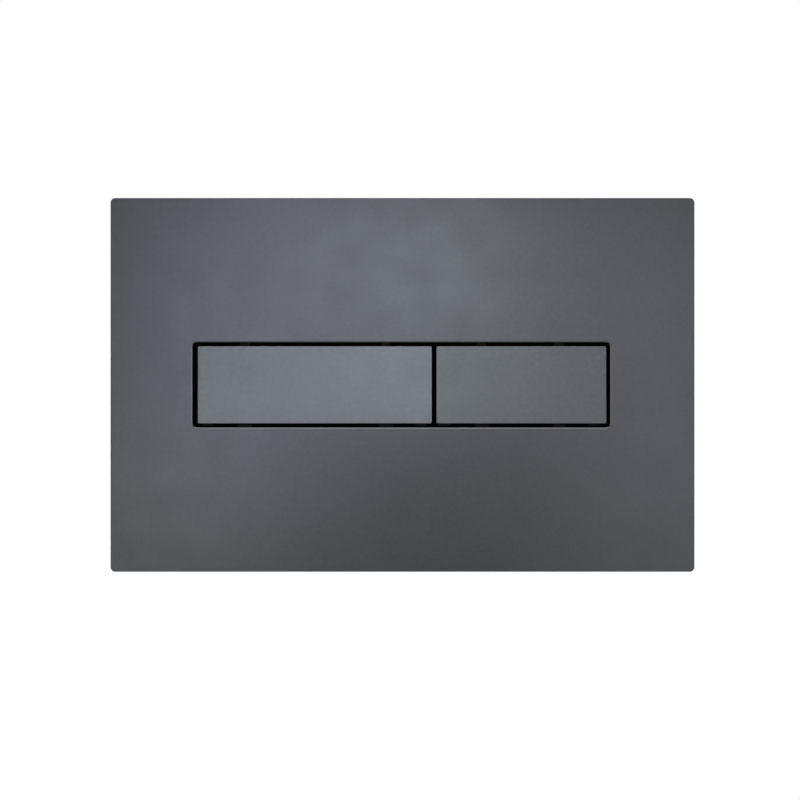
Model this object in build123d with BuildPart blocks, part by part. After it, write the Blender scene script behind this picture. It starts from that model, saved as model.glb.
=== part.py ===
from build123d import *
import os
from math import cos, pi, radians, sin

# Flush button plate for a concealed cistern, with a full flush and a half flush button.
# X runs to the right, Z up, and the wall is the plane Y = 0. A height is measured from
# the wall towards the viewer, so a point at height h lies at Y = -h.

# Cover plate
plate_width = 250.0
plate_height = 160.0
plate_depth = 12.0
plate_corner = 2.0
plate_edge_bevel = 0.4
front_wall = 2.5
skirt_wall = 2.0
cover_inner_corner = 1.0
cover_rib_wall = 1.2
cover_rib_depth = 1.5
upright_rib_spacing = 57.0
long_rib_spacing = 24.0

# Opening for the buttons, a little left of the plate's middle, with a lip behind its edge
opening_left_margin = 35.0
opening_right_margin = 36.0
opening_height = 36.6
opening_corner = 2.0
opening_bevel_width = 0.45
opening_bevel_depth = 0.2
lip_wall = 1.5
lip_depth = 5.0

# Buttons, which sit a little to the right in their side play
half_flush_width = 72.6
button_gap = 2.1
button_end_gap = 1.8
button_float = 0.3
button_depth = 6.0
button_front = 2.0
button_wall = 1.6
button_corner = 0.6
button_bevel_width = 0.25
button_bevel_depth = 0.12
button_tilt = 1.5
button_rib_wall = 1.2
button_rib_depth = 1.8

# Hinges along the upper edge of the buttons
press_angle = 9.0
hinge_rise = 5.2
hinge_rod_radius = 1.25
hinge_rod_overhang = 1.0
ear_inset = 19.6
ear_thickness = 4.0
ear_arm = 4.4
ear_play = 0.8
ear_side_play = 0.7
eye_wall = 1.7
post_wall = 2.4
post_eye_wall = 2.0
hinge_play = 0.08
hinge_rod_fit = 0.02

# Stop tabs that catch behind the lower lip
tab_width = 6.0
tab_thickness = 1.6
tab_overlap = 2.0
tab_play = 0.2

# Push rods, caps and return springs
rod_spacing = 50.0
rod_drop = 8.0
rod_radius = 3.5
rod_tip_radius = 2.75
rod_tip_length = 18.0
rod_tip_chamfer = 0.5
rod_reach = 78.0
cap_width = 10.0
cap_height = 3.5
cap_nose_top = 1.5
cap_nose_height = 0.8
cap_socket = 1.8
pad_width = 8.0
pad_inset = 0.5
pad_play = 0.4
spring_play = 0.45
spring_wire = 0.9
spring_turns = 5
spring_chords = 16

# Carrier behind the buttons
carrier_side = 2.5
carrier_corner = 4.0
carrier_floor = 2.0
carrier_floor_play = 1.3
carrier_rim_wall = 1.6
carrier_rim_height = 2.0
carrier_rib_wall = 1.6
carrier_rib_depth = 3.0
well_depth = 10.0
well_play = 0.45
well_wall = 1.7
well_bottom = 2.0
guide_length = 9.0
guide_play = 0.15
guide_wall = 1.6

# Rubber buffers under the lower edge of the buttons
buffer_inset = 4.0
buffer_width = 5.0
buffer_height = 4.0
buffer_socket = 1.0
buffer_play = 0.15
buffer_chamfer = 0.5

# Mounting frame and the foam strips under it
seal_thickness = 1.0
seal_width = 7.0
seal_inset = 1.5
seal_gap = 0.5
frame_thickness = 2.5
frame_play = 1.0
frame_opening_play = 2.0
frame_corner = 3.0
frame_rim_wall = 2.0
frame_rim_height = 2.5
frame_rib_wall = 1.5

# Snap hooks of the frame and the carrier, and the catches for them in the cover
frame_hook_spread = 140.0
carrier_hook_spread = 90.0
carrier_hook_gap = 4.5
hook_width = 14.0
hook_arm = 1.8
hook_barb = 1.2
hook_barb_height = 1.8
hook_head_room = 1.1
hook_play = 0.3
window_play = 0.2
catch_wall = 2.0
catch_width = 20.0
catch_play = 1.1

# Fixing bolts and washers
bolt_radius = 3.0
bolt_shank_step = 0.3
bolt_reach = 80.0
bolt_chamfer = 0.8
bolt_head_radius = 5.0
bolt_head_height = 3.3
bolt_recess_width = 1.2
bolt_recess_length = 6.0
bolt_recess_depth = 1.6
slot_play = 0.3
slot_length = 12.0
washer_radius = 7.0
washer_play = 0.2
washer_thickness = 1.2


def pressed_height(height, z):
    # Height of a button's point when the button is pressed as far as it goes
    turn = radians(press_angle)
    return hinge_height + (height - hinge_height) * cos(turn) + (z - hinge_line) * sin(turn)


# Sizes and places that follow from those above, with X = 0 in the middle of the opening
plate_middle = (opening_right_margin - opening_left_margin) / 2
cover_inner_width = plate_width - 2 * skirt_wall
cover_inner_height = plate_height - 2 * skirt_wall
cover_inner_front = plate_depth - front_wall
opening_width = plate_width - opening_left_margin - opening_right_margin
lip_rear = plate_depth - lip_depth
lip_line = opening_height / 2 + lip_wall

full_flush_width = opening_width - 3 * button_gap - half_flush_width
button_height = opening_height - 2 * button_end_gap
button_wall_line = (button_height - button_wall) / 2
button_inner_front = plate_depth - button_front / 2
division = (full_flush_width - half_flush_width) / 2
full_flush_centre = division - (button_gap + full_flush_width) / 2
half_flush_centre = division + (button_gap + half_flush_width) / 2
tilt = radians(button_tilt)

hinge_height = lip_rear - ear_play - ear_arm / 2
hinge_line = opening_height / 2 + hinge_rise
eye_radius = hinge_rod_radius + eye_wall
post_radius = hinge_rod_radius + post_eye_wall
post_offset = ear_thickness / 2 + ear_side_play + post_wall / 2
tab_front = lip_rear - tab_play
tab_rear = tab_front - tab_thickness
tab_line = opening_height / 2 + tab_overlap

pad_height = plate_depth - button_depth + pad_inset
cap_top = pad_height - pad_play
cap_rear = cap_top - cap_height
rod_top = cap_rear + cap_socket
spring_radius = rod_radius + spring_play + spring_wire / 2
carrier_floor_front = pressed_height(tab_rear, -tab_line) - carrier_floor_play
carrier_floor_back = carrier_floor_front - carrier_floor
well_floor = carrier_floor_front - well_depth
well_back = well_floor - well_bottom
guide_back = well_back - guide_length
well_radius = spring_radius + spring_wire / 2 + well_play
guide_radius = rod_radius + guide_play

carrier_hook_line = hinge_line + post_radius + carrier_hook_gap + hook_arm
carrier_width = opening_width + 2 * carrier_side
carrier_height = 2 * (carrier_hook_line + hook_play + catch_wall + carrier_rim_wall)
frame_front = seal_thickness + frame_thickness
frame_width = cover_inner_width - 2 * frame_play
frame_height = cover_inner_height - 2 * frame_play
frame_opening_width = carrier_width + 2 * frame_opening_play
frame_opening_height = carrier_height + 2 * frame_opening_play
frame_side = (frame_width - frame_opening_width) / 2
frame_band = (frame_height - frame_opening_height) / 2
frame_hook_line = (frame_height + frame_opening_height) / 4
hook_sets = [(frame_hook_spread, frame_hook_line), (carrier_hook_spread, carrier_hook_line)]
hook_top = cover_inner_front - hook_head_room
catch_offset = hook_play + catch_wall / 2
catch_rear = frame_front + catch_play
bolt_spacing = (frame_width + frame_opening_width) / 2
bolt_seat = frame_front + washer_thickness

# Each flush side has a button, a hinge rod, a push rod with cap and spring, and buffers
full_flush_rod = division - rod_spacing / 2
half_flush_rod = division + rod_spacing / 2
flush_sides = {
    "full_flush": {"centre": full_flush_centre, "width": full_flush_width, "rod": full_flush_rod},
    "half_flush": {"centre": half_flush_centre, "width": half_flush_width, "rod": half_flush_rod},
}


def level(height):
    # Plane parallel to the wall that faces the viewer, with local axes X and Z
    return Plane.XZ.offset(height)


def side(x):
    # Plane across the plate at x, with local axes height and Z
    return Plane(origin=(x, 0, 0), x_dir=(0, -1, 0), z_dir=(-1, 0, 0))


def pair(centre, reach):
    return [centre - reach, centre + reach]


def hook_profile(base, line):
    # Snap hook seen from the side, rising from height base with its barb past line
    with BuildSketch() as profile:
        with BuildLine():
            Polyline(
                (base, line - hook_arm),
                (base, line),
                (hook_top - hook_barb_height, line),
                (hook_top - hook_barb_height, line + hook_barb),
                (hook_top, line),
                (hook_top, line - hook_arm),
                close=True,
            )
        make_face()
        mirror(about=Plane.XZ)
    return profile.sketch


def save(piece, name):
    piece.part.label = name
    export_step(piece.part, f"parts/{name}.step")


os.makedirs("parts", exist_ok=True)

# Cover plate: a shallow ribbed tray with the opening, its lip and the catches for the hooks
with BuildPart() as front_plate:
    with BuildSketch(level(0)):
        with Locations((plate_middle, 0)):
            RectangleRounded(plate_width, plate_height, plate_corner)
    extrude(amount=plate_depth)
    chamfer(front_plate.faces().sort_by(Axis.Y)[0].edges(), plate_edge_bevel)
    with BuildSketch(level(0)):
        with Locations((plate_middle, 0)):
            RectangleRounded(cover_inner_width, cover_inner_height, cover_inner_corner)
    extrude(amount=cover_inner_front, mode=Mode.SUBTRACT)
    with BuildSketch(level(cover_inner_front - cover_rib_depth)):
        with GridLocations(upright_rib_spacing, 0, 4, 1):
            Rectangle(cover_rib_wall, cover_inner_height + skirt_wall)
        with Locations((plate_middle, 0)):
            with GridLocations(0, long_rib_spacing, 1, 2):
                Rectangle(cover_inner_width + skirt_wall, cover_rib_wall)
    extrude(amount=cover_rib_depth)
    with BuildSketch(level(lip_rear)):
        RectangleRounded(opening_width + 2 * lip_wall, 2 * lip_line, opening_corner + lip_wall)
    extrude(amount=cover_inner_front - lip_rear)
    with BuildSketch(level(catch_rear)):
        for spread, line in hook_sets:
            with GridLocations(spread, 2 * (line + catch_offset), 2, 2):
                Rectangle(catch_width, catch_wall)
    extrude(amount=cover_inner_front - catch_rear)
    with BuildSketch(level(hook_top - hook_barb_height - window_play)):
        for spread, line in hook_sets:
            with GridLocations(spread, 2 * (line + catch_offset), 2, 2):
                Rectangle(hook_width + 2 * hook_play, catch_wall)
    extrude(amount=hook_barb_height + 2 * window_play, mode=Mode.SUBTRACT)
    with BuildSketch(level(0)):
        RectangleRounded(opening_width, opening_height, opening_corner)
    extrude(amount=plate_depth, mode=Mode.SUBTRACT)
    front_face = front_plate.faces().sort_by(Axis.Y)[0]
    opening_edges = front_face.inner_wires()[0].edges()
    chamfer(opening_edges, opening_bevel_width, opening_bevel_depth, reference=front_face)
save(front_plate, "front_plate")


# Button: a tilted shell with two hinge ears, two stop tabs, ribs and a pad over the rod
def make_button(centre, width, rod):
    face = Plane(origin=(centre, -plate_depth, 0), x_dir=(1, 0, 0), z_dir=(0, -cos(tilt), sin(tilt)))
    ears = pair(centre, width / 2 - ear_inset)
    with BuildPart() as button:
        with BuildSketch(face):
            RectangleRounded(width, button_height, button_corner)
        extrude(amount=-button_depth)
        front_face = button.faces().sort_by(Axis.Y)[0]
        chamfer(front_face.edges(), button_bevel_width, button_bevel_depth, reference=front_face)
        with BuildSketch(face.offset(-button_depth)):
            RectangleRounded(width - 2 * button_wall, button_height - 2 * button_wall, button_corner)
        extrude(amount=button_depth - button_front, mode=Mode.SUBTRACT)
        with BuildSketch(face.offset(-button_front - button_rib_depth)):
            with Locations((0, -rod_drop)):
                Rectangle(width - button_wall, button_rib_wall)
            with Locations((rod - centre, 0)):
                Rectangle(button_rib_wall, button_height - button_wall)
        extrude(amount=button_rib_depth)
        with BuildSketch(*[side(x) for x in ears]):
            with BuildLine():
                Polyline(
                    (hinge_height + ear_arm / 2, hinge_line),
                    (hinge_height + ear_arm / 2, button_wall_line),
                    (button_inner_front - button_wall / 2, button_wall_line),
                    (button_inner_front - button_wall / 2, 0),
                    (plate_depth - button_front - button_rib_depth, 0),
                    (hinge_height - ear_arm / 2, button_wall_line),
                    (hinge_height - ear_arm / 2, hinge_line),
                    close=True,
                )
            make_face()
            with Locations((hinge_height, hinge_line)):
                Circle(eye_radius)
        extrude(amount=ear_thickness / 2, both=True)
        with BuildSketch(side(centre)):
            with Locations((hinge_height, hinge_line)):
                Circle(hinge_rod_radius + hinge_play)
        extrude(amount=width / 2, both=True, mode=Mode.SUBTRACT)
        with BuildSketch(*[side(x) for x in ears]):
            with BuildLine():
                Polyline(
                    (button_inner_front - button_wall, -button_wall_line + button_wall / 2),
                    (button_inner_front - button_wall, -button_wall_line),
                    (tab_front, -button_wall_line),
                    (tab_front, -tab_line),
                    (tab_rear, -tab_line),
                    (tab_rear, -button_wall_line + button_wall / 2),
                    close=True,
                )
            make_face()
        extrude(amount=tab_width / 2, both=True)
        with BuildSketch(level(pad_height)):
            with Locations((rod, -rod_drop)):
                Rectangle(pad_width, pad_width)
        extrude(amount=button_inner_front - pad_height)
    return button


# Hinge rod: a steel pin through both ears of a button and the posts inside them
def make_hinge_rod(centre, width):
    reach = width / 2 - ear_inset + ear_thickness / 2 + hinge_rod_overhang
    with BuildPart() as hinge_rod:
        with BuildSketch(side(centre)):
            with Locations((hinge_height, hinge_line)):
                Circle(hinge_rod_radius)
        extrude(amount=reach, both=True)
    return hinge_rod


# Push rod: a long round rod with a thinner tip that works the flush valve
def make_rod(rod):
    with BuildPart() as push_rod:
        with BuildSketch(level(rod_top)):
            with Locations((rod, -rod_drop)):
                Circle(rod_radius)
        extrude(amount=rod_tip_length - rod_reach - rod_top)
        with BuildSketch(level(rod_tip_length - rod_reach)):
            with Locations((rod, -rod_drop)):
                Circle(rod_tip_radius)
        extrude(amount=-rod_tip_length)
        chamfer(push_rod.edges().group_by(Axis.Y)[-1], rod_tip_chamfer)
    return push_rod


# Cap: a hexagonal nut with a tapered nose, screwed onto the push rod
def make_cap(rod):
    with BuildPart() as cap:
        with BuildSketch(level(cap_rear)):
            with Locations((rod, -rod_drop)):
                RegularPolygon(cap_width / 2, 6, major_radius=False)
        extrude(amount=cap_height)
        nose = cap.faces().sort_by(Axis.Y)[0]
        chamfer(nose.edges(), cap_width / 2 - cap_nose_top, cap_nose_height, reference=nose)
        with BuildSketch(level(cap_rear)):
            with Locations((rod, -rod_drop)):
                Circle(rod_radius)
        extrude(amount=cap_socket, mode=Mode.SUBTRACT)
    return cap


# Spring: an open coil of short chords between the floor of its well and the back of the cap
def make_spring(rod):
    start = well_floor + spring_wire / 2
    rise = cap_rear - well_floor - spring_wire
    chords = spring_turns * spring_chords
    points = []
    for chord in range(chords + 1):
        turn = 2 * pi * chord / spring_chords
        x = rod + spring_radius * cos(turn)
        z = spring_radius * sin(turn) - rod_drop
        points.append((x, -start - rise * chord / chords, z))
    with BuildPart() as spring:
        with BuildLine() as coil:
            Polyline(*points)
        with BuildSketch(Plane(origin=coil.line @ 0, x_dir=(1, 0, 0), z_dir=coil.line % 0)):
            Rectangle(spring_wire, spring_wire)
        sweep(transition=Transition.RIGHT)
    return spring


# Buffers: two rubber blocks in the carrier below the lower edge of a button
def make_buffers(centre, width):
    edge_height = plate_depth + button_height / 2 * sin(tilt) - button_depth * cos(tilt)
    edge_line = -button_height / 2 * cos(tilt) - button_depth * sin(tilt)
    top = pressed_height(edge_height, edge_line) - buffer_play
    with BuildPart() as buffers:
        with BuildSketch(level(carrier_floor_front - buffer_socket)):
            with Locations(*[(x, -button_wall_line) for x in pair(centre, width / 2 - buffer_inset)]):
                Rectangle(buffer_width, buffer_height)
        extrude(amount=top - carrier_floor_front + buffer_socket)
        chamfer(buffers.faces().group_by(Axis.Y)[0].edges(), buffer_chamfer)
    return buffers


for name, flush in flush_sides.items():
    seat = flush["centre"] + button_float
    save(make_button(seat, flush["width"], flush["rod"]), f"{name}_button")
    save(make_hinge_rod(flush["centre"], flush["width"]), f"{name}_hinge_rod")
    save(make_rod(flush["rod"]), f"{name}_rod")
    save(make_cap(flush["rod"]), f"{name}_rod_cap")
    save(make_spring(flush["rod"]), f"{name}_spring")
    save(make_buffers(flush["centre"], flush["width"]), f"{name}_buffers")

# Carrier: a ribbed floor with snap hooks, bearing posts, spring wells and guide tubes
post_lines = [
    x
    for flush in flush_sides.values()
    for x in pair(flush["centre"], flush["width"] / 2 - ear_inset - post_offset)
]
rod_points = [(flush["rod"], -rod_drop) for flush in flush_sides.values()]
buffer_points = [
    (x, -button_wall_line)
    for flush in flush_sides.values()
    for x in pair(flush["centre"], flush["width"] / 2 - buffer_inset)
]
with BuildPart() as button_carrier:
    with BuildSketch(level(carrier_floor_back)):
        RectangleRounded(carrier_width, carrier_height, carrier_corner)
    extrude(amount=carrier_floor)
    with BuildSketch(level(carrier_floor_front)):
        RectangleRounded(carrier_width, carrier_height, carrier_corner)
        offset(amount=-carrier_rim_wall, mode=Mode.SUBTRACT)
    extrude(amount=carrier_rim_height)
    with BuildSketch(level(carrier_floor_back)):
        for z in (-hinge_line, -rod_drop, hinge_line):
            with Locations((0, z)):
                Rectangle(carrier_width - 2 * carrier_rim_wall, carrier_rib_wall)
        for x in (full_flush_centre - rod_spacing / 2, division, half_flush_centre):
            with Locations((x, 0)):
                Rectangle(carrier_rib_wall, 2 * hinge_line)
    extrude(amount=-carrier_rib_depth)
    with BuildSketch(level(carrier_floor_front)):
        with GridLocations(carrier_hook_spread, 2 * (carrier_hook_line + catch_offset), 2, 2):
            Rectangle(catch_width, catch_wall)
    extrude(amount=catch_rear - carrier_floor_front)
    with BuildSketch(*[side(x) for x in pair(0, carrier_hook_spread / 2)]):
        add(hook_profile(carrier_floor_front, carrier_hook_line))
    extrude(amount=hook_width / 2, both=True)
    with BuildSketch(*[side(x) for x in post_lines]):
        with Locations(((hinge_height + carrier_floor_front) / 2, hinge_line)):
            Rectangle(hinge_height - carrier_floor_front, 2 * post_radius)
        with Locations((hinge_height, hinge_line)):
            Circle(post_radius)
    extrude(amount=post_wall / 2, both=True)
    with BuildSketch(level(carrier_floor_back)):
        with Locations(*rod_points):
            Circle(well_radius + well_wall)
    extrude(amount=well_back - carrier_floor_back)
    with BuildSketch(level(well_back)):
        with Locations(*rod_points):
            Circle(guide_radius + guide_wall)
    extrude(amount=-guide_length)
    with BuildSketch(level(carrier_floor_front)):
        with Locations(*rod_points):
            Circle(well_radius)
    extrude(amount=-well_depth, mode=Mode.SUBTRACT)
    with BuildSketch(level(well_floor)):
        with Locations(*rod_points):
            Circle(guide_radius)
    extrude(amount=guide_back - well_floor, mode=Mode.SUBTRACT)
    with BuildSketch(level(carrier_floor_front)):
        with Locations(*buffer_points):
            Rectangle(buffer_width, buffer_height)
    extrude(amount=-buffer_socket, mode=Mode.SUBTRACT)
    with BuildSketch(side(0)):
        with Locations((hinge_height, hinge_line)):
            Circle(hinge_rod_radius + hinge_rod_fit)
    extrude(amount=carrier_width / 2, both=True, mode=Mode.SUBTRACT)
save(button_carrier, "button_carrier")

# Mounting frame: a flat ring with rims and ribs, bolt slots and four snap hooks
with BuildPart() as mounting_frame:
    with BuildSketch(level(seal_thickness)):
        RectangleRounded(frame_width, frame_height, frame_corner)
        RectangleRounded(frame_opening_width, frame_opening_height, frame_corner, mode=Mode.SUBTRACT)
        with Locations((-bolt_spacing / 2, 0), (bolt_spacing / 2, 0)):
            SlotOverall(slot_length, 2 * (bolt_radius + slot_play), rotation=90, mode=Mode.SUBTRACT)
    extrude(amount=frame_thickness)
    with BuildSketch(level(frame_front)):
        RectangleRounded(frame_width, frame_height, frame_corner)
        offset(amount=-frame_rim_wall, mode=Mode.SUBTRACT)
    extrude(amount=frame_rim_height)
    with BuildSketch(level(frame_front)):
        RectangleRounded(
            frame_opening_width + 2 * frame_rim_wall,
            frame_opening_height + 2 * frame_rim_wall,
            frame_corner + frame_rim_wall,
        )
        RectangleRounded(frame_opening_width, frame_opening_height, frame_corner, mode=Mode.SUBTRACT)
    extrude(amount=frame_rim_height)
    with BuildSketch(level(frame_front)):
        with GridLocations(frame_width - frame_side, slot_length + 2 * washer_radius, 2, 2):
            Rectangle(frame_side - frame_rim_wall, frame_rib_wall)
        with GridLocations(frame_hook_spread / 4, frame_height - frame_band, 3, 2):
            Rectangle(frame_rib_wall, frame_band - frame_rim_wall)
    extrude(amount=frame_rim_height)
    with BuildSketch(*[side(x) for x in pair(0, frame_hook_spread / 2)]):
        add(hook_profile(frame_front, frame_hook_line))
    extrude(amount=hook_width / 2, both=True)
save(mounting_frame, "mounting_frame")

# Foam strips along the four edges of the frame, between it and the wall
seal_span = frame_width - 2 * seal_inset
seal_rise = frame_height - 2 * seal_inset
with BuildPart() as foam_seal:
    with BuildSketch(level(0)):
        with GridLocations(0, seal_rise - seal_width, 1, 2):
            Rectangle(seal_span, seal_width)
        with GridLocations(seal_span - seal_width, 0, 2, 1):
            Rectangle(seal_width, seal_rise - 2 * seal_width - 2 * seal_gap)
    extrude(amount=seal_thickness)
save(foam_seal, "foam_seal")

# Fixing bolts with washers, one on each side of the opening
for name, x in (("left", -bolt_spacing / 2), ("right", bolt_spacing / 2)):
    with BuildPart() as fixing_bolt:
        with BuildSketch(level(bolt_seat)):
            with Locations((x, 0)):
                Circle(bolt_head_radius)
        extrude(amount=bolt_head_height)
        with BuildSketch(level(bolt_seat)):
            with Locations((x, 0)):
                Circle(bolt_radius - bolt_shank_step)
        extrude(amount=-bolt_seat)
        with BuildSketch(level(0)):
            with Locations((x, 0)):
                Circle(bolt_radius)
        extrude(amount=-bolt_reach)
        chamfer(fixing_bolt.edges().group_by(Axis.Y)[-1], bolt_chamfer)
        with BuildSketch(level(bolt_seat + bolt_head_height)):
            with Locations((x, 0)):
                Rectangle(bolt_recess_length, bolt_recess_width)
                Rectangle(bolt_recess_width, bolt_recess_length)
        extrude(amount=-bolt_recess_depth, mode=Mode.SUBTRACT)
    save(fixing_bolt, f"fixing_bolt_{name}")

    with BuildPart() as bolt_washer:
        with BuildSketch(level(frame_front)):
            with Locations((x, 0)):
                Circle(washer_radius)
                Circle(bolt_radius + washer_play, mode=Mode.SUBTRACT)
        extrude(amount=washer_thickness)
    save(bolt_washer, f"bolt_washer_{name}")
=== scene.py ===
import math

import bmesh
import bpy
from mathutils import Matrix, Vector


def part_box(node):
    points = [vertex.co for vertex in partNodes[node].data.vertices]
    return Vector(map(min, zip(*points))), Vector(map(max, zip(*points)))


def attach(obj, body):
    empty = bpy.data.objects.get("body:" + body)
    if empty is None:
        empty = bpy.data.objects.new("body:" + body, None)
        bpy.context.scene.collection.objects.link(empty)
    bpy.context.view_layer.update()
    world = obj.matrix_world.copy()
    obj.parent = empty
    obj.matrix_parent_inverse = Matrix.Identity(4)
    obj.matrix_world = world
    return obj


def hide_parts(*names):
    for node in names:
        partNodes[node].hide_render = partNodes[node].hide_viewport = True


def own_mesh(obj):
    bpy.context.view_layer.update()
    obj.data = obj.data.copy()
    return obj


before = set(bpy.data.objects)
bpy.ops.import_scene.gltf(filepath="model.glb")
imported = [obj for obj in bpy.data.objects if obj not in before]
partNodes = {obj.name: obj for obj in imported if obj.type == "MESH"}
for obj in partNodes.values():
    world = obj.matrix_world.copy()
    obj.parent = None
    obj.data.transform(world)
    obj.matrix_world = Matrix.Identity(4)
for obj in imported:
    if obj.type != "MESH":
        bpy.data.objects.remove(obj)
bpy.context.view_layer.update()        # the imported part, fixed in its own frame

scene = bpy.context.scene
scene.view_settings.view_transform = "Standard"
print("frame loaded,", len(partNodes), "nodes")


# straight on, with the plate a little right of and above the middle of a square picture
plateView = {
    "distance": 1.2,          # from the plate's face
    "pictureWidth": 0.34241,  # what the picture spans at the face
    "sensor": 36,
    "right": -0.00057,
    "up": -0.00647,
}


def placeCamera(values):
    lens = bpy.data.cameras.new("plateView")
    lens.sensor_width = values["sensor"]
    lens.lens = values["sensor"] * values["distance"] / values["pictureWidth"]
    camera = bpy.data.objects.new("plateView", lens)
    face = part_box("front_plate")[0][1]
    camera.location = (values["right"], face - values["distance"], values["up"])
    camera.rotation_euler = (math.radians(90), 0, 0)
    scene.collection.objects.link(camera)
    scene.camera = camera


placeCamera(plateView)
print("camera placed")


# Four soft boxes round the lens shine in the satin faces, five further out light the edges
# and two light the back. Each is turned to the origin.
softBoxes = {
    "lensTop": {
        "place": (0.012, -1.25, 0.105), "size": (0.163, 0.098),
        "glow": 20.4, "hue": (0.92, 0.96, 1.0),
    },
    "lensLeft": {
        "place": (-0.157, -1.25, 0.044), "size": (0.094, 0.307),
        "glow": 9.65, "hue": (0.88, 0.91, 1.0),
    },
    "lensLowLeft": {
        "place": (-0.238, -1.25, -0.109), "size": (0.142, 0.064),
        "glow": 9.9, "hue": (1.0, 0.96, 0.90),
    },
    "lensRight": {
        "place": (0.252, -1.25, -0.007), "size": (0.162, 0.375),
        "glow": 4.45, "hue": (0.95, 0.97, 1.0),
    },
    "overhead": {"place": (0.0, -0.86, 0.94), "size": (0.60, 0.36), "glow": 6.0},
    "overheadCore": {"place": (-0.05, -0.85, 0.93), "size": (0.20, 0.30), "glow": 3.0},
    "rightSide": {"place": (0.86, -0.87, 0.08), "size": (0.40, 0.36), "glow": 6.0},
    "leftSide": {"place": (-0.86, -0.87, 0.08), "size": (0.40, 0.36), "glow": 5.4},
    "lowFill": {"place": (0.0, -0.76, -0.72), "size": (0.50, 0.22), "glow": 0.8},
    "backLeft": {"place": (-0.75, 0.95, 1.20), "size": (1.0, 1.0), "glow": 2.6},
    "backRight": {"place": (0.95, 1.05, -0.20), "size": (0.9, 0.9), "glow": 1.4},
}


def hangSoftBox(name, values):
    lamp = bpy.data.lights.new(name, "AREA")
    lamp.shape = "RECTANGLE"
    lamp.size, lamp.size_y = values["size"]
    lamp.energy = values["glow"] * math.pi * lamp.size * lamp.size_y
    lamp.color = values.get("hue", (1, 1, 1))
    holder = bpy.data.objects.new(name, lamp)
    holder.location = values["place"]
    holder.rotation_euler = (-holder.location).to_track_quat("-Z", "Y").to_euler()
    scene.collection.objects.link(holder)


for boxName, boxValues in softBoxes.items():
    hangSoftBox(boxName, boxValues)


# pale room: white to the camera, to gloss and to glass,
# but dim to gloss behind the lens, where the camera stands
room = {"light": 0.36, "seen": 1.0, "dim": 0.08, "dimEdge": (0.80, 0.95)}


def paintRoom(values):
    world = bpy.data.worlds.new("paleRoom")
    scene.world = world
    world.use_nodes = True
    tree = world.node_tree
    nodes, link = tree.nodes, tree.links.new
    light = nodes["Background"]
    seen, dim = (nodes.new("ShaderNodeBackground") for layer in range(2))
    for background, strength in ((light, "light"), (seen, "seen"), (dim, "dim")):
        background.inputs["Color"].default_value = (1, 1, 1, 1)
        background.inputs["Strength"].default_value = values[strength]
    path = nodes.new("ShaderNodeLightPath")
    shiny = nodes.new("ShaderNodeMath")
    shiny.operation = "MAXIMUM"
    link(path.outputs["Is Glossy Ray"], shiny.inputs[0])
    link(path.outputs["Is Transmission Ray"], shiny.inputs[1])
    toLens = nodes.new("ShaderNodeVectorMath")
    toLens.operation = "DOT_PRODUCT"
    toLens.inputs[1].default_value = (0, -1, 0)
    link(nodes.new("ShaderNodeTexCoord").outputs["Generated"], toLens.inputs[0])
    edge = nodes.new("ShaderNodeMapRange")
    edge.interpolation_type = "SMOOTHSTEP"
    edge.inputs["From Min"].default_value, edge.inputs["From Max"].default_value = values["dimEdge"]
    link(toLens.outputs["Value"], edge.inputs["Value"])
    shine, rays, everyRay = (nodes.new("ShaderNodeMixShader") for layer in range(3))
    link(edge.outputs["Result"], shine.inputs[0])
    link(seen.outputs[0], shine.inputs[1])
    link(dim.outputs[0], shine.inputs[2])
    link(shiny.outputs[0], rays.inputs[0])
    link(light.outputs[0], rays.inputs[1])
    link(shine.outputs[0], rays.inputs[2])
    link(path.outputs["Is Camera Ray"], everyRay.inputs[0])
    link(rays.outputs[0], everyRay.inputs[1])
    link(seen.outputs[0], everyRay.inputs[2])
    link(everyRay.outputs[0], nodes["World Output"].inputs["Surface"])


paintRoom(room)
print("room lit")


# Procedural finishes, all on object coordinates. A noise is given by its scale and detail,
# a bump by its depth and strength.
noiseSpan = (0.3, 0.7)      # where most of a noise lies


def startFinish(name, sockets):
    finish = bpy.data.materials.new(name)
    finish.use_nodes = True
    tree = finish.node_tree
    shader = tree.nodes["Principled BSDF"]
    for socket, value in sockets.items():
        shader.inputs[socket].default_value = value
    place = tree.nodes.new("ShaderNodeTexCoord").outputs["Object"]
    return finish, tree, shader, place


def addNoise(tree, place, scale, detail, stretch=(1, 1, 1)):
    mapping = tree.nodes.new("ShaderNodeMapping")
    mapping.inputs["Scale"].default_value = stretch
    noise = tree.nodes.new("ShaderNodeTexNoise")
    noise.inputs["Scale"].default_value = scale
    noise.inputs["Detail"].default_value = detail
    tree.links.new(place, mapping.inputs["Vector"])
    tree.links.new(mapping.outputs["Vector"], noise.inputs["Vector"])
    return noise.outputs["Fac"]


def addCells(tree, place, scale):
    cells = tree.nodes.new("ShaderNodeTexVoronoi")
    cells.inputs["Scale"].default_value = scale
    tree.links.new(place, cells.inputs["Vector"])
    return cells.outputs["Distance"]


def wanderTone(tree, factor, shader, low, high, ends=noiseSpan):
    ramp = tree.nodes.new("ShaderNodeValToRGB")
    for element, position, tone in zip(ramp.color_ramp.elements, ends, (low, high)):
        element.position = position
        element.color = (*tone, 1)
    tree.links.new(factor, ramp.inputs["Fac"])
    tree.links.new(ramp.outputs["Color"], shader.inputs["Base Color"])


def wanderRoughness(tree, factor, shader, low, high):
    span = tree.nodes.new("ShaderNodeMapRange")
    span.inputs["From Min"].default_value, span.inputs["From Max"].default_value = noiseSpan
    span.inputs["To Min"].default_value = low
    span.inputs["To Max"].default_value = high
    tree.links.new(factor, span.inputs["Value"])
    tree.links.new(span.outputs["Result"], shader.inputs["Roughness"])


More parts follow.
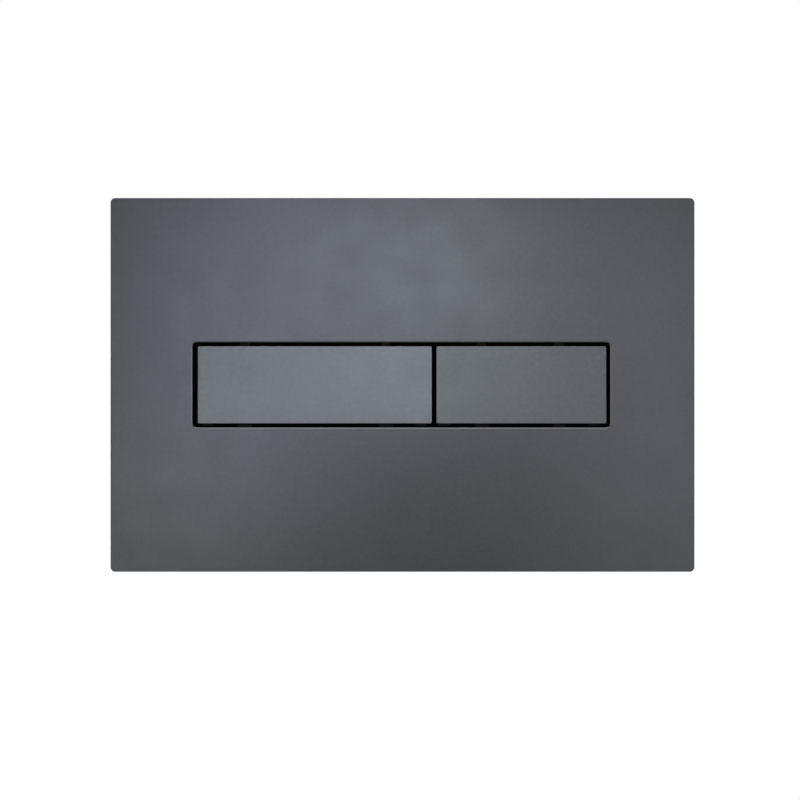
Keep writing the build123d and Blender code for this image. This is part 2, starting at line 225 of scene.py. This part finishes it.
def raiseGrain(tree, shader, layers):
    normal = None
    for height, depth, strength in layers:
        bump = tree.nodes.new("ShaderNodeBump")
        bump.inputs["Distance"].default_value = depth
        bump.inputs["Strength"].default_value = strength
        tree.links.new(height, bump.inputs["Height"])
        if normal:
            tree.links.new(normal, bump.inputs["Normal"])
        normal = bump.outputs["Normal"]
    tree.links.new(normal, shader.inputs["Normal"])


# 0 at one depth and 1 at the other, and 0 outside the half sizes of a skirt
def depthMask(tree, place, none, full, skirt=()):
    parts = tree.nodes.new("ShaderNodeSeparateXYZ")
    tree.links.new(place, parts.inputs[0])
    depth = tree.nodes.new("ShaderNodeMapRange")
    depth.inputs["From Min"].default_value = none
    depth.inputs["From Max"].default_value = full
    tree.links.new(parts.outputs["Y"], depth.inputs["Value"])
    mask = depth.outputs["Result"]
    for axis, half in zip("XZ", skirt):
        inside = tree.nodes.new("ShaderNodeMath")
        inside.operation = "COMPARE"      # 1 within the half size of the middle
        inside.inputs[1].default_value = 0
        inside.inputs[2].default_value = half
        tree.links.new(parts.outputs[axis], inside.inputs[0])
        both = tree.nodes.new("ShaderNodeMath")
        both.operation = "MULTIPLY"
        tree.links.new(mask, both.inputs[0])
        tree.links.new(inside.outputs[0], both.inputs[1])
        mask = both.outputs[0]
    return mask


# lays a plain coat over a finish where the mask is 1
def coatOver(tree, shader, mask, coat):
    for socketName, value in coat.items():
        socket = shader.inputs[socketName]
        mix = tree.nodes.new("ShaderNodeMix")
        mix.data_type = "RGBA" if socket.type == "RGBA" else "FLOAT"
        mix.inputs["B"].default_value = value
        tree.links.new(mask, mix.inputs["Factor"])
        tree.links.new(socket.links[0].from_socket, mix.inputs["A"])
        tree.links.new(mix.outputs["Result"], socket)


# Satin graphite lacquer: a fine even skin with a faint orange peel under it. It is sprayed from
# the front, so it fades to the bare black moulding inside the piece; that moulding is painted darker
# and more matt than black plastic is, as painted shade in the gaps round the buttons.
graphite = {
    "roughness": (0.23, 0.26),
    "specular": 0.40,
    "tint": (0.88, 0.95, 1.0, 1),
    "toneNoise": (500, 3),
    "glossNoise": (70, 3),
    "peelNoise": (420, 1),
    "peel": (0.00001, 0.04),
    "skinNoise": (3200, 2),
    "skin": (0.000004, 0.05),
    # the bare moulding: partly its real black, partly painted shade, darker and more matt than black plastic
    "bareAndPaintedShade": {"Base Color": (0.003, 0.003, 0.0033, 1), "Roughness": 0.95},
    "sprayedTo": -0.0113,     # lacquer in front of this depth
    "bareFrom": -0.0105,
}
coverTone = {"dark": (0.0280, 0.0275, 0.0315), "light": (0.0330, 0.0325, 0.0365)}
# the buttons are the cover's lacquer given lighter tones: painted light for the brighter shine they catch,
# the full button the most
fullPaintedLightTone = {"dark": (0.0660, 0.0680, 0.0760), "light": (0.0750, 0.0770, 0.0860)}
halfPaintedLightTone = {"dark": (0.0400, 0.0415, 0.0460), "light": (0.0470, 0.0485, 0.0540)}
coverSkirt = (0.1238, 0.0788)     # outside these half sizes the cover is sprayed all the way down


def mixGraphite(name, values, tone, skirt=()):
    sockets = {"Specular IOR Level": values["specular"], "Specular Tint": values["tint"]}
    finish, tree, shader, place = startFinish(name, sockets)
    wanderTone(tree, addNoise(tree, place, *values["toneNoise"]), shader, tone["dark"], tone["light"])
    wanderRoughness(tree, addNoise(tree, place, *values["glossNoise"]), shader, *values["roughness"])
    # bare moulding inside the piece, darkened as painted shade in the gaps
    bareAndPaintedShade = depthMask(tree, place, values["sprayedTo"], values["bareFrom"], skirt)
    coatOver(tree, shader, bareAndPaintedShade, values["bareAndPaintedShade"])
    peel = addNoise(tree, place, *values["peelNoise"])
    skin = addNoise(tree, place, *values["skinNoise"])
    raiseGrain(tree, shader, [(peel, *values["peel"]), (skin, *values["skin"])])
    return finish


# moulded plastics: the spark-eroded skin of the mould, and a little flow in the colour
mouldSkin = {
    "flowNoise": (45, 5), "flowStretch": (1, 1, 2.2), "glossNoise": (240, 3),
    "sinkNoise": (60, 1), "sink": (0.00006, 0.12),
    "erosionNoise": (2400, 3), "erosion": (0.00002, 0.35),
}
mouldings = {
    "carrierBlack": {
        "low": (0.009, 0.009, 0.0097), "high": (0.013, 0.013, 0.0138),
        "roughness": (0.70, 0.85), "gloss": 0.03,
    },
    "frameGrey": {
        "low": (0.56, 0.56, 0.54), "high": (0.59, 0.59, 0.57),
        "roughness": (0.40, 0.52), "gloss": 0.45,
    },
    "rodWhite": {
        "low": (0.68, 0.68, 0.64), "high": (0.75, 0.75, 0.71),
        "roughness": (0.34, 0.46), "gloss": 0.45,
    },
    "capGrey": {
        "low": (0.085, 0.086, 0.09), "high": (0.11, 0.11, 0.115),
        "roughness": (0.40, 0.52), "gloss": 0.45,
    },
}


# the carrier's front is painted darker and more matt than its black plastic: painted shade, so that the gaps
# round the buttons stay black
carrierFrontPaintedShade = {
    "paintedShadeTo": 0.0038, "plainFrom": 0.0042,
    "matt": {"Base Color": (0.0028, 0.0028, 0.003, 1), "Roughness": 0.88},
}


def mixMoulding(name, values, skin, front=None):
    finish, tree, shader, place = startFinish(name, {"Specular IOR Level": values["gloss"]})
    flow = addNoise(tree, place, *skin["flowNoise"], skin["flowStretch"])
    wanderTone(tree, flow, shader, values["low"], values["high"])
    wanderRoughness(tree, addNoise(tree, place, *skin["glossNoise"]), shader, *values["roughness"])
    if front:
        # painted shade over the carrier's front
        coatOver(tree, shader, depthMask(tree, place, front["plainFrom"], front["paintedShadeTo"]), front["matt"])
    erosion = addNoise(tree, place, *skin["erosionNoise"])
    sink = addNoise(tree, place, *skin["sinkNoise"])
    raiseGrain(tree, shader, [(sink, *skin["sink"]), (erosion, *skin["erosion"])])
    return finish


# steel: a little cloudy, and on the hinge rods with a drawn grain along the axis
steelSkin = {"cloudNoise": (380, 4), "drawnNoise": (1800, 3), "drawn": (0.000012, 0.12)}
zincPlate = {"low": (0.56, 0.57, 0.59), "high": (0.64, 0.65, 0.66), "roughness": (0.34, 0.46)}
springWire = {"low": (0.40, 0.41, 0.43), "high": (0.52, 0.53, 0.55), "roughness": (0.22, 0.34)}
drawnAlongX = (0.05, 1, 1)


def mixSteel(name, values, skin, stretch=(1, 1, 1)):
    finish, tree, shader, place = startFinish(name, {"Metallic": 1.0})
    cloud = addNoise(tree, place, *skin["cloudNoise"])
    wanderTone(tree, cloud, shader, values["low"], values["high"])
    drawn = addNoise(tree, place, *skin["drawnNoise"], stretch)
    wanderRoughness(tree, drawn, shader, *values["roughness"])
    raiseGrain(tree, shader, [(drawn, *skin["drawn"])])
    return finish


# soft pieces: closed cell foam and rubber
foamSkin = {
    "low": (0.018, 0.018, 0.020), "high": (0.055, 0.055, 0.060), "toneEnds": (0.1, 0.6),
    "roughness": 0.92, "gloss": 0.15,
    "cells": 1500, "pit": (0.0002, 0.7),
    "waveNoise": (260, 2), "wave": (0.00012, 0.4),
}
bufferSkin = {
    "low": (0.016, 0.016, 0.016), "high": (0.026, 0.026, 0.026),
    "roughness": (0.62, 0.78), "gloss": 0.3, "bloomNoise": (520, 4),
    "grainNoise": (3000, 2), "grain": (0.00001, 0.4),
}


def mixFoam(name, values):
    sockets = {"Roughness": values["roughness"], "Specular IOR Level": values["gloss"]}
    finish, tree, shader, place = startFinish(name, sockets)
    cells = addCells(tree, place, values["cells"])
    wanderTone(tree, cells, shader, values["low"], values["high"], values["toneEnds"])
    wave = addNoise(tree, place, *values["waveNoise"])
    raiseGrain(tree, shader, [(wave, *values["wave"]), (cells, *values["pit"])])
    return finish


def mixRubber(name, values):
    finish, tree, shader, place = startFinish(name, {"Specular IOR Level": values["gloss"]})
    bloom = addNoise(tree, place, *values["bloomNoise"])
    wanderTone(tree, bloom, shader, values["low"], values["high"])
    wanderRoughness(tree, bloom, shader, *values["roughness"])
    raiseGrain(tree, shader, [(addNoise(tree, place, *values["grainNoise"]), *values["grain"])])
    return finish


coverFinish = mixGraphite("coverGraphite", graphite, coverTone, coverSkirt)
fullFinish = mixGraphite("fullButtonGraphite", graphite, fullPaintedLightTone)
halfFinish = mixGraphite("halfButtonGraphite", graphite, halfPaintedLightTone)
carrierFinish = mixMoulding("carrierBlack", mouldings["carrierBlack"], mouldSkin, carrierFrontPaintedShade)
frameFinish = mixMoulding("frameGrey", mouldings["frameGrey"], mouldSkin)
rodFinish = mixMoulding("rodWhite", mouldings["rodWhite"], mouldSkin)
capFinish = mixMoulding("capGrey", mouldings["capGrey"], mouldSkin)
pinFinish = mixSteel("pinSteel", zincPlate, steelSkin, drawnAlongX)
boltFinish = mixSteel("boltZinc", zincPlate, steelSkin)
springFinish = mixSteel("springSteel", springWire, steelSkin)
foamFinish = mixFoam("sealFoam", foamSkin)
rubberFinish = mixRubber("bufferRubber", bufferSkin)

nodeFinishes = {
    "front_plate": coverFinish,
    "full_flush_button": fullFinish,
    "half_flush_button": halfFinish,
    "button_carrier": carrierFinish,
    "mounting_frame": frameFinish,
    "full_flush_rod_cap": capFinish,
    "half_flush_rod_cap": capFinish,
    "full_flush_hinge_rod": pinFinish,
    "half_flush_hinge_rod": pinFinish,
    "bolt_washer_left": boltFinish,
    "bolt_washer_right": boltFinish,
}
for nodeName, nodeFinish in nodeFinishes.items():
    node = partNodes[nodeName]
    for index in range(len(node.data.materials)):
        node.data.materials[index] = nodeFinish
print("finishes mixed,", len(nodeFinishes), "nodes painted")


# shared steps for the new pieces
mergeDistance = 1e-6
trimDistance = 1e-7


def closePiece(name, work, finish, body, nodeName, smoothAngle=35):
    bmesh.ops.remove_doubles(work, verts=work.verts, dist=mergeDistance)
    bmesh.ops.recalc_face_normals(work, faces=work.faces)
    mesh = bpy.data.meshes.new(name)
    work.to_mesh(mesh)
    work.free()
    mesh.materials.append(finish)
    mesh.shade_smooth()
    mesh.set_sharp_from_angle(angle=math.radians(smoothAngle))
    piece = bpy.data.objects.new(name, mesh)
    scene.collection.objects.link(piece)
    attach(piece, body)
    if nodeName:
        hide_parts(nodeName)
    return piece


def addOutline(work, points):
    verts = [work.verts.new(point) for point in points]
    return verts + [work.edges.new(pair) for pair in zip(verts, verts[1:])]


def turnProfile(work, axisX, axisZ, profile, steps):
    outline = addOutline(work, [(axisX + radius, -height, axisZ) for radius, height in profile])
    bmesh.ops.spin(
        work, geom=outline, cent=(axisX, 0, axisZ), axis=(0, 1, 0),
        angle=math.tau, steps=steps, use_merge=True,
    )


# cuts off what lies beyond each level along Y, and closes the ends
def trimFlat(work, cuts):
    for level, way in cuts:
        everything = work.verts[:] + work.edges[:] + work.faces[:]
        bmesh.ops.bisect_plane(
            work, geom=everything, dist=trimDistance, plane_co=(0, level, 0), plane_no=(0, way, 0),
            clear_outer=True,
        )
    bmesh.ops.holes_fill(work, edges=[edge for edge in work.edges if edge.is_boundary], sides=0)


# where the ridge of a thread rises and falls, as shares of its pitch
threadRidge = {"rise": 0.2, "crestFrom": 0.45, "crestTo": 0.6, "fall": 0.85}


# one turn of the ridge, copied along the axis and trimmed flat at both ends
def windThread(work, axisX, axisZ, values, top, bottom):
    pitch, core, crest, steps = values["pitch"], values["core"], values["crest"], values["threadSteps"]
    ridge = [
        (core, 0), (core, threadRidge["rise"]),
        (crest, threadRidge["crestFrom"]), (crest, threadRidge["crestTo"]),
        (core, threadRidge["fall"]), (core, 1),
    ]
    start = top + pitch
    turns = math.ceil((start - bottom) / pitch) + 1
    outline = addOutline(work, [(axisX + radius, -start + pitch * share, axisZ) for radius, share in ridge])
    bmesh.ops.spin(
        work, geom=outline, cent=(axisX, 0, axisZ), axis=(0, 1, 0), dvec=(0, pitch / steps, 0),
        angle=math.tau, steps=steps,
    )
    oneTurn = work.verts[:] + work.edges[:] + work.faces[:]
    for turn in range(1, turns):
        copied = bmesh.ops.duplicate(work, geom=oneTurn)["geom"]
        verts = [part for part in copied if isinstance(part, bmesh.types.BMVert)]
        bmesh.ops.translate(work, vec=(0, pitch * turn, 0), verts=verts)
    bmesh.ops.remove_doubles(work, verts=work.verts, dist=mergeDistance)
    trimFlat(work, ((-top, -1), (-bottom, 1)))


# return springs: round wire with a closed, ground turn at each end
returnSpring = {
    "wire": 0.0009, "radius": 0.0044, "openTurns": 5, "closedTurns": 1,
    "ground": 0.3,           # share of the wire that is ground off
    "closedPitch": 0.98,     # in wires
    "steps": 44, "round": 12, "smoothAngle": 50,
}


def windSpring(name, side, rodBox, values):
    axisX = (rodBox[0][0] + rodBox[1][0]) / 2
    axisZ = (rodBox[0][2] + rodBox[1][2]) / 2
    foot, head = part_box(f"{side}_flush_spring")[1][1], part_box(f"{side}_flush_spring")[0][1]
    wire, steps = values["wire"], values["steps"]
    grind = wire * values["ground"]
    closedRise = values["closedTurns"] * wire * values["closedPitch"]
    openRise = foot - head + 2 * grind - wire - 2 * closedRise
    work = bmesh.new()
    place = Matrix.Translation((axisX + values["radius"], foot + grind - wire / 2, axisZ))
    ring = bmesh.ops.create_circle(work, segments=values["round"], radius=wire / 2, matrix=place)["verts"]
    geom = ring + list({edge for vert in ring for edge in vert.link_edges})
    stages = [
        (values["closedTurns"], closedRise),
        (values["openTurns"], openRise),
        (values["closedTurns"], closedRise),
    ]
    for turns, rise in stages:
        count = steps * turns
        geom = bmesh.ops.spin(
            work, geom=geom, cent=(axisX, 0, axisZ), axis=(0, 1, 0), dvec=(0, -rise / count, 0),
            angle=math.tau * turns, steps=count,
        )["geom_last"]
    trimFlat(work, ((foot, 1), (head, -1)))
    piece = closePiece(
        name, work, springFinish, "plate", f"{side}_flush_spring", values["smoothAngle"]
    )
    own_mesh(piece)


# push rods: smooth in the guide, threaded below it so that they can be set to the wall's depth
pushRod = {
    "pitch": 0.0022, "core": 0.00295, "crest": 0.0035, "threadTop": -0.027, "threadBottom": -0.0575,
    "shoulder": -0.06, "tip": 0.00275,
    "topBevel": 0.0004, "runOut": 0.0006, "shoulderBevel": 0.0003, "tipBevel": 0.0005,
    "threadSteps": 40, "turnSteps": 48,
}


def turnRod(name, side, values):
    low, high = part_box(f"{side}_flush_rod")
    axisX, axisZ = (low[0] + high[0]) / 2, (low[2] + high[2]) / 2
    radius, tip, core = (high[0] - low[0]) / 2, values["tip"], values["core"]
    top, bottom, shoulder = -low[1], -high[1], values["shoulder"]
    threadTop, threadBottom, runOut = values["threadTop"], values["threadBottom"], values["runOut"]
    work = bmesh.new()
    windThread(work, axisX, axisZ, values, threadTop, threadBottom)
    upper = [
        (0, top), (radius - values["topBevel"], top), (radius, top - values["topBevel"]),
        (radius, threadTop + runOut), (core, threadTop), (0, threadTop),
    ]
    lower = [
        (0, threadBottom), (core, threadBottom), (radius, threadBottom - runOut),
        (radius, shoulder + values["shoulderBevel"]), (radius - values["shoulderBevel"], shoulder),
        (tip, shoulder), (tip, bottom + values["tipBevel"]), (tip - values["tipBevel"], bottom), (0, bottom),
    ]
    turnProfile(work, axisX, axisZ, upper, values["turnSteps"])
    turnProfile(work, axisX, axisZ, lower, values["turnSteps"])
    return closePiece(name, work, rodFinish, f"{side}_rod", f"{side}_flush_rod")


for sideName in ("full", "half"):
    windSpring(f"{sideName}ReturnSpring", sideName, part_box(f"{sideName}_flush_rod"), returnSpring)
    turnRod(f"{sideName}PushRod", sideName, pushRod)
print("springs wound, rods turned")


# fixing bolts: pan head with a cross recess, plain neck in the frame, thread in the wall
fixingBolt = {
    "head": 0.005, "headBack": 0.0047, "neck": 0.0027, "rim": 0.0002,
    "dome": [(0.55, 0), (0.78, 0.00022), (0.93, 0.0008), (1, 0.0017)],   # share of the radius, drop
    "neckEnd": 0.0003, "coreEnd": -0.0002,
    "pitch": 0.001, "core": 0.00245, "crest": 0.003, "leadIn": 0.0008,
    "recessSpan": 0.0052, "recessWidth": 0.0011, "recessDepth": 0.0021,
    "recessTaper": (0.45, 1, 0.7), "recessTurn": 0.4,
    "threadSteps": 32, "turnSteps": 56,
}


def cutRecess(name, headMesh, place, values):
    cutter = bmesh.new()
    size = (values["recessSpan"], 2 * values["recessDepth"], values["recessWidth"])
    for turn in (0, math.pi / 2):
        arm = bmesh.ops.create_cube(cutter, size=1)["verts"]
        bmesh.ops.scale(cutter, vec=size, verts=arm)
        deep = [vert for vert in arm if vert.co.y > 0]
        bmesh.ops.scale(cutter, vec=values["recessTaper"], verts=deep)
        turned = Matrix.Rotation(turn + values["recessTurn"], 3, "Y")
        bmesh.ops.rotate(cutter, cent=(0, 0, 0), matrix=turned, verts=arm)
    bmesh.ops.translate(cutter, vec=place, verts=cutter.verts)
    cutterMesh = bpy.data.meshes.new(name + "Recess")
    cutter.to_mesh(cutterMesh)
    cutter.free()
    headPiece = bpy.data.objects.new(name + "Head", headMesh)
    cutterPiece = bpy.data.objects.new(name + "Recess", cutterMesh)
    scene.collection.objects.link(headPiece)
    scene.collection.objects.link(cutterPiece)
    cut = headPiece.modifiers.new("recess", "BOOLEAN")
    cut.operation = "DIFFERENCE"
    cut.solver = "EXACT"
    cut.use_self = True
    cut.object = cutterPiece
    ready = bpy.data.meshes.new_from_object(headPiece.evaluated_get(bpy.context.evaluated_depsgraph_get()))
    bpy.data.objects.remove(headPiece)
    bpy.data.objects.remove(cutterPiece)
    return ready


def turnBolt(name, side, values):
    low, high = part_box(f"fixing_bolt_{side}")
    axisX, axisZ = (low[0] + high[0]) / 2, (low[2] + high[2]) / 2
    front, bottom = -low[1], -high[1]
    head, back, neck, rim = values["head"], values["headBack"], values["neck"], values["rim"]
    profile = [
        (0, front), *((head * share, front - drop) for share, drop in values["dome"]),
        (head, back + rim), (head - rim, back), (neck, back), (neck, values["neckEnd"]),
        (values["core"], values["coreEnd"]), (0, values["coreEnd"]),
    ]
    work = bmesh.new()
    turnProfile(work, axisX, axisZ, profile, values["turnSteps"])
    bmesh.ops.remove_doubles(work, verts=work.verts, dist=mergeDistance)
    bmesh.ops.recalc_face_normals(work, faces=work.faces)
    headMesh = bpy.data.meshes.new(name + "Head")
    work.to_mesh(headMesh)
    work.free()
    ready = cutRecess(name, headMesh, (axisX, -front, axisZ), values)
    work = bmesh.new()
    windThread(work, axisX, axisZ, values, 0, bottom)
    for vert in work.verts:
        over = vert.co.y - (-bottom - values["leadIn"])
        if over > 0:
            arm = Vector((vert.co.x - axisX, 0, vert.co.z - axisZ))
            limit = values["crest"] - over
            if arm.length > limit:
                vert.co -= arm * (1 - limit / arm.length)
    work.from_mesh(ready)
    bpy.data.meshes.remove(ready)
    return closePiece(name, work, boltFinish, "plate", f"fixing_bolt_{side}")


for sideName in ("left", "right"):
    turnBolt(f"{sideName}FixingBolt", sideName, fixingBolt)
print("bolts turned")


# foam strips between frame and wall, and the rubber buffers under the buttons
def roundedBlock(work, low, high, values):
    block = bmesh.ops.create_cube(work, size=1)["verts"]
    bmesh.ops.scale(work, vec=[b - a for a, b in zip(low, high)], verts=block)
    bmesh.ops.translate(work, vec=[(a + b) / 2 for a, b in zip(low, high)], verts=block)
    edges = list({edge for vert in block for edge in vert.link_edges})
    bmesh.ops.bevel(
        work, geom=edges, offset=values["rounding"], offset_type="OFFSET", affect="EDGES",
        segments=values["segments"], profile=0.5, material=-1,
    )


foamStrip = {"width": 0.007, "gap": 0.0005, "rounding": 0.00025, "segments": 2}


def cutFoam(name, values):
    low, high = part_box("foam_seal")
    wide = values["width"]
    inner = wide + values["gap"]
    strips = [
        (low, (high[0], high[1], low[2] + wide)),
        ((low[0], low[1], high[2] - wide), high),
        ((low[0], low[1], low[2] + inner), (low[0] + wide, high[1], high[2] - inner)),
        ((high[0] - wide, low[1], low[2] + inner), (high[0], high[1], high[2] - inner)),
    ]
    work = bmesh.new()
    for stripLow, stripHigh in strips:
        roundedBlock(work, stripLow, stripHigh, values)
    return closePiece(name, work, foamFinish, "plate", "foam_seal")


rubberBuffer = {"width": 0.005, "rounding": 0.0005, "segments": 4}


def mouldBuffers(name, side, values):
    low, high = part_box(f"{side}_flush_buffers")
    wide = values["width"]
    work = bmesh.new()
    roundedBlock(work, low, (low[0] + wide, high[1], high[2]), values)
    roundedBlock(work, (high[0] - wide, low[1], low[2]), high, values)
    return closePiece(name, work, rubberFinish, "plate", f"{side}_flush_buffers")


# rubber lip round the carrier: it keeps dust and light out of the slot between carrier and frame
dustLip = {
    "wall": 0.0012, "play": 0.00005, "front": -0.0055, "back": 0.0044,
    "corner": 0.004, "cornerSegments": 8,
    "rounding": 0.0003, "roundSegments": 2,
    "sharpFrom": 1,      # radians: edges sharper than this are rounded
}


def fitDustLip(name, values):
    low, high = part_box("button_carrier")
    side = values["play"] + values["wall"]
    span = (high[0] - low[0] + 2 * side, 1, high[2] - low[2] + 2 * side)
    middle = ((low[0] + high[0]) / 2, values["front"], (low[2] + high[2]) / 2)
    upright = Matrix.Rotation(math.radians(90), 3, "X")
    work = bmesh.new()
    bmesh.ops.create_grid(work, x_segments=1, y_segments=1, size=0.5)
    bmesh.ops.rotate(work, cent=(0, 0, 0), matrix=upright, verts=work.verts)
    bmesh.ops.scale(work, vec=span, verts=work.verts)
    bmesh.ops.translate(work, vec=middle, verts=work.verts)
    bmesh.ops.bevel(
        work, geom=work.verts[:], offset=values["corner"] + side, offset_type="OFFSET", affect="VERTICES",
        segments=values["cornerSegments"], profile=0.5, material=-1,
    )
    band = bmesh.ops.inset_region(
        work, faces=work.faces[:], thickness=values["wall"], use_boundary=True, use_even_offset=True
    )["faces"]
    bmesh.ops.delete(work, geom=[face for face in work.faces if face not in band], context="FACES_ONLY")
    drawn = bmesh.ops.extrude_face_region(work, geom=band)["geom"]
    verts = [part for part in drawn if isinstance(part, bmesh.types.BMVert)]
    bmesh.ops.translate(work, vec=(0, values["back"] - values["front"], 0), verts=verts)
    bmesh.ops.recalc_face_normals(work, faces=work.faces)
    sharp = [edge for edge in work.edges if edge.calc_face_angle(0) > values["sharpFrom"]]
    bmesh.ops.bevel(
        work, geom=sharp, offset=values["rounding"], offset_type="OFFSET", affect="EDGES",
        segments=values["roundSegments"], profile=0.5, material=-1,
    )
    return closePiece(name, work, rubberFinish, "plate", None)


cutFoam("sealStrips", foamStrip)
fitDustLip("carrierDustLip", dustLip)
for sideName in ("full", "half"):
    mouldBuffers(f"{sideName}Buffers", sideName, rubberBuffer)
print("foam cut, lip fitted, buffers moulded")


# pale floor that fades to the white of the room with distance
paleFloor = {
    "drop": 0.85, "size": 4.0, "tone": (0.86, 0.86, 0.85), "shade": 0.98, "toneNoise": (6, 3),
    "roughness": 0.9, "fade": (0.9, 2.4), "glow": (0.40, 1.0),
}


def layFloor(values):
    work = bmesh.new()
    bmesh.ops.create_grid(work, x_segments=1, y_segments=1, size=values["size"])
    bmesh.ops.translate(work, vec=(0, 0, -values["drop"]), verts=work.verts)
    mesh = bpy.data.meshes.new("paleFloor")
    work.to_mesh(mesh)
    work.free()
    finish, tree, shader, place = startFinish("paleFloor", {"Roughness": values["roughness"]})
    nodes, link = tree.nodes, tree.links.new
    tone = values["tone"]
    shaded = [values["shade"] * part for part in tone]
    wanderTone(tree, addNoise(tree, place, *values["toneNoise"]), shader, shaded, tone)
    reach = nodes.new("ShaderNodeVectorMath")
    reach.operation = "LENGTH"
    link(place, reach.inputs[0])
    fade = nodes.new("ShaderNodeMapRange")
    fade.interpolation_type = "SMOOTHSTEP"
    fade.inputs["From Min"].default_value, fade.inputs["From Max"].default_value = values["fade"]
    fade.inputs["To Min"].default_value, fade.inputs["To Max"].default_value = values["glow"]
    link(reach.outputs["Value"], fade.inputs["Value"])
    path = nodes.new("ShaderNodeLightPath")
    rays = path.outputs["Is Camera Ray"]
    for ray in ("Is Glossy Ray", "Is Transmission Ray"):
        either = nodes.new("ShaderNodeMath")
        either.operation = "MAXIMUM"
        link(rays, either.inputs[0])
        link(path.outputs[ray], either.inputs[1])
        rays = either.outputs[0]
    share = nodes.new("ShaderNodeMath")
    share.operation = "MULTIPLY"
    link(rays, share.inputs[0])
    link(fade.outputs["Result"], share.inputs[1])
    white = nodes.new("ShaderNodeEmission")
    blend = nodes.new("ShaderNodeMixShader")
    link(share.outputs[0], blend.inputs[0])
    link(shader.outputs[0], blend.inputs[1])
    link(white.outputs[0], blend.inputs[2])
    link(blend.outputs[0], nodes["Material Output"].inputs["Surface"])
    mesh.materials.append(finish)
    floor = bpy.data.objects.new("paleFloor", mesh)
    scene.collection.objects.link(floor)


layFloor(paleFloor)
print("floor laid")

print("scene ready")
